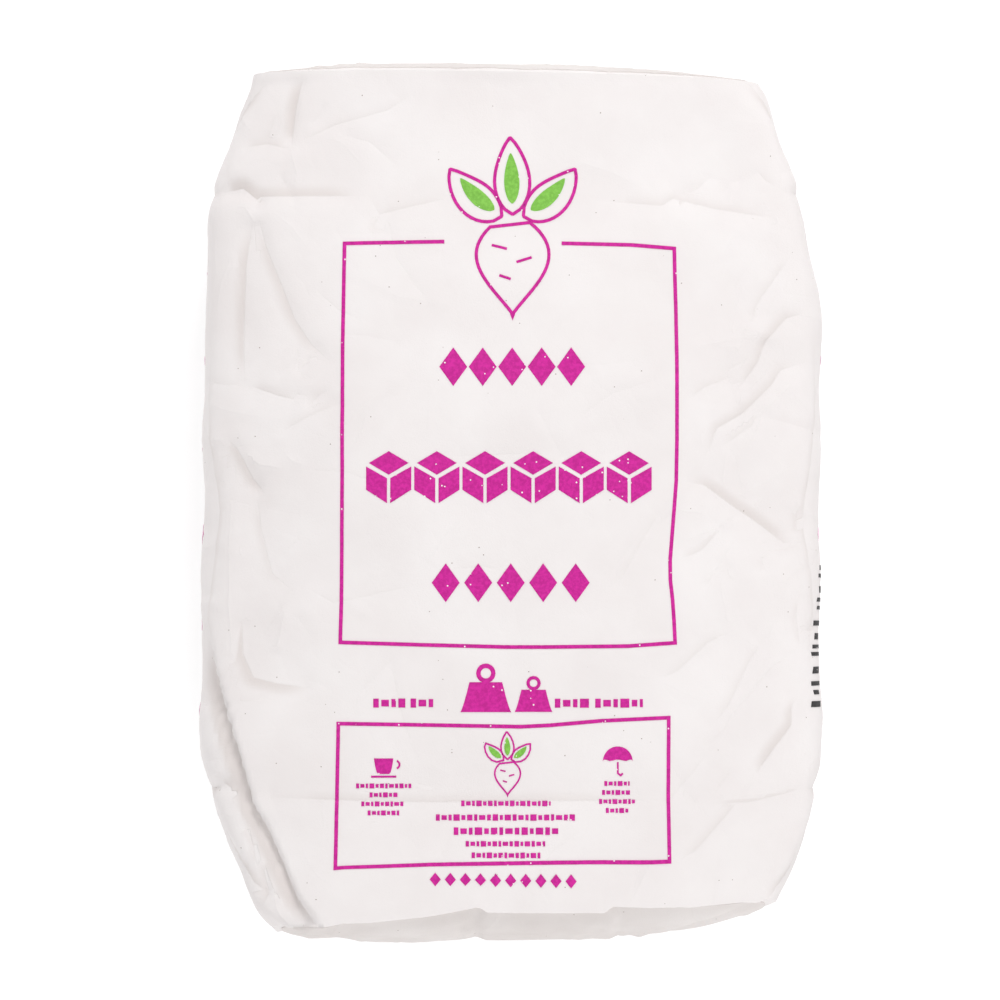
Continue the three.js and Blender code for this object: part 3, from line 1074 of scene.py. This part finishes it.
def bar(art, x, y, width, height, lean=0.0):
    # lean moves the top edge to the right
    rise = np.linspace(-0.5, 0.5, stepsFor(height) + 1) * height
    left = pathOf(x - width / 2 + lean * rise, y + rise)
    fillBetween(art, left, left + [width, 0])


def fillSides(art, x, half, level):
    # both sides are as far from the middle line
    fillBetween(art, pathOf(x - half, level), pathOf(x + half, level))


def polygonBetween(art, bottomPoint, topPoint, leftVia, rightVia):
    # a four-cornered field with a corner at its foot and one at its head
    n = stepsFor(math.dist(bottomPoint, leftVia) + math.dist(leftVia, topPoint))
    t = np.linspace(0, 2, 2 * n + 1)
    sides = []
    for via in (leftVia, rightVia):
        x, y = np.array([bottomPoint, via, topPoint], float).T
        sides.append(pathOf(np.interp(t, [0, 1, 2], x), np.interp(t, [0, 1, 2], y)))
    fillBetween(art, *sides)


def diamond(art, x, y, width, height):
    polygonBetween(art, (x, y - height / 2), (x, y + height / 2), (x - width / 2, y), (x + width / 2, y))


def lump(art, x, y, size, gap):
    # a sugar lump seen on its edge: a top and two sides with bare paper between
    w, h = size * 0.43, size * 0.25
    g = gap / 2
    polygonBetween(art, (x, y + g), (x, y + 2 * h - g), (x - w + 2 * g, y + h), (x + w - 2 * g, y + h))
    rise = np.linspace(0, 1, stepsFor(2 * h) + 1)
    for side in (-1, 1):
        inner = pathOf(x + side * g, mixTo(y - 2 * h, y - g * 1.2, rise))
        outer = pathOf(x + side * (w - g * 0.3), mixTo(y - h, y + h - g * 2.2, rise))
        fillBetween(art, inner, outer)


def ring(art, x, y, radius, width, fromTurn=0.0, toTurn=360.0):
    whole = toTurn - fromTurn >= 360
    count = stepsFor(radius * math.radians(toTurn - fromTurn)) + 1
    turns = np.radians(np.linspace(fromTurn, toTurn, count))[:-1 if whole else None]
    t = np.linspace(-0.5, 0.5, acrossSteps(width))[None, :, None]
    addPlate(art, [x, y] + headingOf(turns)[:, None] * (radius + width * t), whole)


def leafSides(x, y, length, width, turn, curl):
    # both sides of a pointed leaf that starts at (x, y) and bends to one side
    t = np.linspace(0, 1, stepsFor(length) + 1)
    heading = headingOf(math.radians(turn) + math.radians(curl) * t)
    steps = heading[:-1] * length / (len(t) - 1)
    spine = np.array([x, y]) + np.concatenate([[[0, 0]], np.cumsum(steps, axis=0)])
    spread = width / 2 * np.sin(math.pi * t ** 0.8) ** 0.8 + 0.35
    across = leftOf(heading) * spread[:, None]
    return spine + across, spine - across


def beetOutline(x, y, size):
    # root of a sugar beet, from its crown down to the tip and up again
    t = np.linspace(0, 1, 22)
    spread = size * 0.47 * np.sin(math.pi * np.clip(t * 0.94 + 0.09, 0, 1)) ** 0.75 * (1 - t) ** 0.42
    down = y - size * t
    return np.concatenate([pathOf(x + spread, down)[:-1], pathOf(x - spread, down)[:0:-1]])


printForm = {
    "line": 2.5,
    "mainFrame": [  # the emblem breaks the upper line; the paper has pulled the print out of true
        (33, 172.4), (52.5, 171.9), (79.4, 171.2), (108.9, 168.9), (110, 130), (110.7, 40), (110.4, 12.7),
        (108.3, -14.2), (105.9, -41.1), (105.9, -54.6), (107.3, -68), (108.2, -81.5), (109, -96.6),
        (77, -98.8), (22, -99.4), (-5, -99.4), (-58.5, -98), (-115.7, -96.3), (-115.4, -80), (-114.4, 26),
        (-114.4, 107), (-113.2, 172.3), (-80, 172.9), (-46, 173.5),
    ],
    "lowFrame": [
        (-117.1, -150.8), (-118.7, -248), (-55, -244.9), (-8, -243.8), (59, -242.5), (105, -241.8),
        (104.4, -198), (104.7, -146.8), (59, -148.8), (25, -151.8), (5.4, -152.8), (-50, -151.8),
    ],
    "beets": (((0, 186.5, 64), 2.2), ((-3.4, -176.5, 22.5), 1.1)),  # crown, length and line
    "lumpRow": (-2.4, 15.1, 6, 32.3, 36, 2.2),  # middle, count, step, size and gap
    "diamondRows": (  # middle, count, step, width and height
        (-0.3, 88.8, 5, 19.8, 18.72, 26), (-1.3, -56.3, 5, 21.8, 18.72, 26), (-6.4, -254.6, 10, 10.1, 7.5, 9),
    ),
    "cup": (-86.5, -178, 13),
    "umbrella": (70.5, -176, 10),
    "weights": ((-18, -127, 1.0), (14, -131, 0.74)),  # place and size
    "words": ((-82.8, 21.5), (-60, 17), (40, 23.5), (71.3, 32)),  # middle and width
    "wordLevel": -137,
    "wordHeight": 6,
    "smallWords": (  # middle of each block of lines, then level, width and height of each line
        (-86.5, ((-192.5, 37, 3.2), (-198.55, 19, 3.2), (-204.6, 30, 3.2), (-210.65, 21.5, 3.2))),
        (70, ((-190.9, 17, 3.2), (-196.95, 20, 3.2), (-203, 24, 3.2), (-209.05, 15, 3.2))),
        (-4.5, ((-204.3, 60, 3.6), (-213.7, 94, 4.2), (-222.8, 70, 5), (-231.2, 54, 3.6), (-238.7, 46, 3.6))),
    ),
}


def dashes(art, x, y, width, height):
    # a line of small blocks that stands for a word, centred on (x, y)
    gap = 0.28 * height
    place, k = x - width / 2, 0
    while place < x + width / 2 - 0.3 * height:
        long = min(height * (0.62, 0.85, 0.5, 1.0)[k % 4], x + width / 2 - place)
        bar(art, place + long / 2, y, long, height * (1, 0.74, 0.9)[k % 3])
        place += long + gap
        k += 1


beetForm = {  # places and lengths as shares of the root's length, turns in degrees
    "lines": ((-0.22, -0.24, -0.06, -0.28), (0.04, -0.42, 0.20, -0.37), (-0.14, -0.56, -0.02, -0.60)),
    "leaves": ((154, 0.74, -34), (90, 0.80, 4), (26, 0.74, 34)),  # turn, length and curl
}


def beetArt(magenta, green, x, y, size, line):
    stroke(magenta, beetOutline(x, y, size), line, closed=True)
    for fx, fy, tx, ty in beetForm["lines"]:
        stroke(magenta, [(x + fx * size, y + fy * size), (x + tx * size, y + ty * size)], line * 0.8)
    for turn, length, curl in beetForm["leaves"]:
        foot = math.radians(turn)
        fx = x + 0.13 * size * math.cos(foot)
        fy = y + 0.05 * size + 0.04 * size * math.sin(foot)
        left, right = leafSides(fx, fy, length * size, 0.36 * size, turn, curl)
        stroke(magenta, np.concatenate([left[::2], right[::-2]]), line, closed=True)
        nx, ny = mixTo(np.array([fx, fy]), (left[-1] + right[-1]) / 2, 0.14)
        inner = (0.66 * length * size, 0.15 * size, turn + curl * 0.16, curl * 0.7)
        fillBetween(green, *leafSides(nx, ny, *inner))


def weightArt(art, x, y, size):
    # a scale weight with its ring
    foot, head = 34 * size, 22 * size
    rise = np.linspace(0, 1, stepsFor(21 * size) + 1)
    half = mixTo(foot, head, rise ** 0.8) / 2
    level = y + (-16 + 20 * rise) * size
    fillSides(art, x, half, level)
    ring(art, x, y + 10 * size, 5.0 * size, 3.0 * size)


def umbrellaArt(art, x, y, radius):
    turns = np.radians(np.linspace(178, 2, 2 * stepsFor(radius)))
    dome = [x, y] + radius * headingOf(turns)
    hem = pathOf(dome[:, 0], y + 0.12 * radius * np.abs(np.sin(3 * turns)))
    fillBetween(art, hem, dome)
    low = y - 0.8 * radius
    stroke(art, [(x, y - 0.5), (x, low), (x + 2, y - 0.95 * radius), (x + 3.4, low)], 1.2)


def cupArt(art, x, y, size):
    rise = np.linspace(0, 1, stepsFor(size) + 1)
    half = size * mixTo(0.28, 0.5, rise ** 0.5)
    level = y - size / 2 + size * 0.8 * rise
    fillSides(art, x, half, level)
    ring(art, x + size * 0.62, y - size * 0.02, size * 0.2, 1.3, -75, 75)
    bar(art, x, y - size * 0.64, size * 1.3, 1.3)


def rowOf(middle, count, step):
    return middle + (np.arange(count) - (count - 1) / 2) * step


def frontArt():
    magenta, green = newArt(), newArt()
    form = printForm
    stroke(magenta, form["mainFrame"], form["line"])
    stroke(magenta, form["lowFrame"], form["line"], closed=True)
    for place, line in form["beets"]:
        beetArt(magenta, green, *place, line)
    middle, y, count, step, size, gap = form["lumpRow"]
    for x in rowOf(middle, count, step):
        lump(magenta, x, y, size, gap)
    for middle, y, count, step, width, height in form["diamondRows"]:
        for x in rowOf(middle, count, step):
            diamond(magenta, x, y, width, height)
    for place in form["weights"]:
        weightArt(magenta, *place)
    for x, width in form["words"]:
        dashes(magenta, x, form["wordLevel"], width, form["wordHeight"])
    for x, lines in form["smallWords"]:
        for y, width, height in lines:
            dashes(magenta, x, y, width, height)
    cupArt(magenta, *form["cup"])
    umbrellaArt(magenta, *form["umbrella"])
    return magenta, green


sideForm = {
    "middle": 271,  # paper length from the front's middle to the side's
    "marks": (  # along the sack, width and height; the wide ones show at the edges of the front
        (216, 42, 24), (157, 58, 34), (98, 57, 24), (37, 42, 24), (-22, 58, 32), (-82, 42, 24),
        (-142, 42, 24),
    ),
    "line": 2.4,
    "code": (239, -45, -20),  # upper end of a row of slanted marks, and its shift
    "leans": (0.5, 0.1, -0.3),
    "codeMarks": (  # place along the row, length and thickness of each mark
        (0, 12, 3.2), (5.5, 18, 2.6), (15, 10, 4.4), (22, 16, 2.8), (27.5, 12, 2.4), (38, 18, 3.4),
        (47, 9, 4.2), (54, 15, 2.6), (59, 18, 2.6), (70, 12, 4.6), (79, 17, 3.0), (85, 10, 3.0),
        (93, 17, 4.0),
    ),
}


def sideArt():
    magenta, black = newArt(), newArt()
    form = sideForm
    for side in (-1, 1):
        x = side * form["middle"]
        for y, width, height in form["marks"]:
            outline = [(x - width / 2, y), (x, y - height / 2), (x + width / 2, y), (x, y + height / 2)]
            stroke(magenta, outline, form["line"], closed=True)
            diamond(magenta, x, y, width * 0.42, height * 0.42)
    x, y, shift = form["code"]
    for k, (along, width, thick) in enumerate(form["codeMarks"]):
        bar(black, x + shift * along / 100, y - along, width, thick, form["leans"][k % 3])
    return magenta, black


def layTree():
    # Geometry Nodes that lay a flat plate on the paper by its map, and their inputs' identifiers
    tree = bpy.data.node_groups.new("layOnPaper", "GeometryNodeTree")
    identifiers = {}
    kinds = {"Geometry": "Geometry", "Paper": "Object", "Map Span": "Float", "Ink": "Material"}
    for label, kind in kinds.items():
        socket = tree.interface.new_socket(label, in_out="INPUT", socket_type="NodeSocket" + kind)
        identifiers[label] = socket.identifier
    tree.interface.new_socket("Geometry", in_out="OUTPUT", socket_type="NodeSocketGeometry")
    given = tree.nodes.new("NodeGroupInput").outputs
    paper = wire(tree, "GeometryNodeObjectInfo", {"Object": given["Paper"]}, "Geometry")
    place = wire(tree, "GeometryNodeInputPosition", {})
    share = reckonVector(tree, "DIVIDE", {0: place, 1: given["Map Span"]})
    onMap = reckonVector(tree, "ADD", {0: share, 1: (0.5, 0.5, 0)})
    vector = {"data_type": "FLOAT_VECTOR"}

    def attribute(name):
        return wire(tree, "GeometryNodeInputNamedAttribute", {"Name": name}, "Attribute", **vector)

    paperMap = attribute("paperUV")

    def sampled(value):
        inputs = {"Mesh": paper, "Value": value, "UV Map": paperMap, "Sample UV": onMap}
        return wire(tree, "GeometryNodeSampleUVSurface", inputs, "Value", **vector)

    outward = sampled(wire(tree, "GeometryNodeInputNormal", {}))
    height = wire(tree, "ShaderNodeSeparateXYZ", {0: place}, "Z")
    lift = reckonVector(tree, "SCALE", {0: outward, "Scale": height})
    spot = reckonVector(tree, "ADD", {0: sampled(place), 1: lift})
    laid = wire(tree, "GeometryNodeSetPosition", {"Geometry": given["Geometry"], "Position": spot})
    lines = {"Geometry": laid, "Name": "creaseLine", "Value": sampled(attribute("creaseLine"))}
    creased = wire(tree, "GeometryNodeStoreNamedAttribute", lines, domain="POINT", **vector)
    real = wire(tree, "GeometryNodeRealizeInstances", {0: creased})
    inked = wire(tree, "GeometryNodeSetMaterial", {"Geometry": real, "Material": given["Ink"]})
    connect(tree, inked, tree.nodes.new("NodeGroupOutput").inputs[0])
    return tree, identifiers


def layOnPaper(name, art, paper, material):
    flat = meshFrom(name + "Flat", np.concatenate(art["points"]), art["faces"], material, smooth=False)
    layer = flat.modifiers.new("lay", "NODES")
    layer.node_group, identifiers = paperLay
    for label, value in (("Paper", paper), ("Map Span", sackForm["uvSpan"] * mm), ("Ink", material)):
        layer[identifiers[label]] = value
    bpy.context.view_layer.update()
    evaluated = flat.evaluated_get(bpy.context.evaluated_depsgraph_get())
    mesh = bpy.data.meshes.new_from_object(evaluated)
    mesh.name = name
    bpy.data.objects.remove(flat)
    return placeObject(name, mesh)


# Cover sheets on the end faces

coverForm = {
    "thickness": 0.8,
    "sunk": 0.15,  # glued down, so no gap shows
    "bottomInset": (1, 3, 3),  # cells of the end face left free above, below and beside it
    "topInset": (3, 3, 3),
}


def makeCover(name, grid, line, outward, material):
    above, below, beside = coverForm[name[: -len("Cover")] + "Inset"]
    inside = grid[above:-below, beside:-beside]
    line = line[:, above:-below, beside:-beside].reshape(2, -1)
    under = inside - [0, outward * coverForm["sunk"], 0]
    over = inside + [0, outward * coverForm["thickness"], 0]
    rows, across = inside.shape[:2]
    top = np.arange(rows * across).reshape(rows, across)
    low = top + rows * across
    points = np.concatenate([over.reshape(-1, 3), under.reshape(-1, 3)])
    piece = meshFrom(name, points, plateFaces(top, low, outward), material)
    keepLines(piece, np.concatenate([line, line], axis=1))
    sharpenRims(piece, (top, low))
    return piece


# Floor, light and camera

studio = {
    "floorSize": 12.0,
    "floorLook": {  # its glow lifts the floor to a studio's blown-out white
        "Base Color": (0.36, 0.36, 0.36, 1), "Roughness": 0.9,
        "Emission Color": (1.0, 1.0, 1.0, 1), "Emission Strength": 0.72,
    },
    "world": {"Color": (1.0, 1.0, 1.0, 1), "Strength": 0.32},
    "lamps": {  # place, power and size
        "leftLamp": ((-2.4, 0.4, 0.6), 22, 1.6),
        "rightLamp": ((2.2, 0.3, 1.0), 10.2, 1.6),
        "topLamp": ((0.38, 1.7, 1.8), 34.5, 0.7),
        "endLamp": ((0.4, -1.9, 1.6), 29, 1.4),
    },
}


def makeFloor():
    half = studio["floorSize"] / 2
    mesh = bpy.data.meshes.new("floor")
    corners = [(-half, -half, 0), (half, -half, 0), (half, half, 0), (-half, half, 0)]
    mesh.from_pydata(corners, [], [(0, 1, 2, 3)])
    mesh.materials.append(newMaterial("floorFinish", studio["floorLook"])[0])
    floor = placeObject("floor", mesh)


def makeLamp(name, place, power, size):
    lamp = bpy.data.lights.new(name, "AREA")
    lamp.energy = power
    lamp.size = size
    piece = placeObject(name, lamp)
    piece.location = place
    piece.rotation_euler = (-piece.location).to_track_quat("-Z", "Y").to_euler()


def makeWorld():
    world = bpy.data.worlds.new("studioWorld")
    world.use_nodes = True
    fill(world.node_tree, world.node_tree.nodes["Background"].inputs, studio["world"])
    scene.world = world


cameraForm = {
    "lens": 150,
    "distance": 2.848,
    "tilt": 2.0,  # degrees towards the bottom end
    "aim": (-0.0072, 0.0011, 0.09),
}


def makeCamera():
    lens = bpy.data.cameras.new("camera")
    lens.lens = cameraForm["lens"]
    lens.sensor_width = 36
    camera = placeObject("camera", lens)
    tilt = math.radians(cameraForm["tilt"])
    x, y, z = cameraForm["aim"]
    away = cameraForm["distance"]
    camera.location = (x, y - away * math.sin(tilt), z + away * math.cos(tilt))
    camera.rotation_euler = (tilt, 0, 0)
    lens.clip_end = 50
    scene.camera = camera


# Everything together

makeCamera()
sackPaper = makePaper("whitePaper", paperLook)
# the cover sheets are darker than the sack's paper: partly a greyer paper of their own, partly painted shade
# for the end faces, which lie in shade
coverLook = dict(paperLook, light=(0.740, 0.698, 0.683, 1), deep=(0.685, 0.636, 0.618, 1))
coverPaper = makePaper("coverPaper", coverLook)
sack, bottomEnd, topEnd = makeSack(sackPaper)
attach(sack, "root")
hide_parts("sack")
print("sack made", len(sack.data.polygons), "faces")

for name, (grid, line), outward, node in (
    ("topCover", topEnd, 1, "top_cover"), ("bottomCover", bottomEnd, -1, "bottom_cover"),
):
    cover = makeCover(name, grid, line, outward, coverPaper)
    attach(cover, "root")
    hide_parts(node)
print("covers made")

inks = {color: makeInk(color) for color in ("magenta", "green", "black")}
frontMagenta, frontGreen = frontArt()
sideMagenta, sideBlack = sideArt()
paperLay = layTree()
for name, art, color in (
    ("frontPrint", frontMagenta, "magenta"), ("leafPrint", frontGreen, "green"),
    ("sidePrint", sideMagenta, "magenta"), ("sideCode", sideBlack, "black"),
):
    layer = layOnPaper(name, art, sack, inks[color])
    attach(layer, "root")
    print(name, len(layer.data.polygons), "faces")

makeFloor()
for name, (place, power, size) in studio["lamps"].items():
    makeLamp(name, place, power, size)
makeWorld()
scene.view_settings.view_transform = "Standard"
print("studio made")
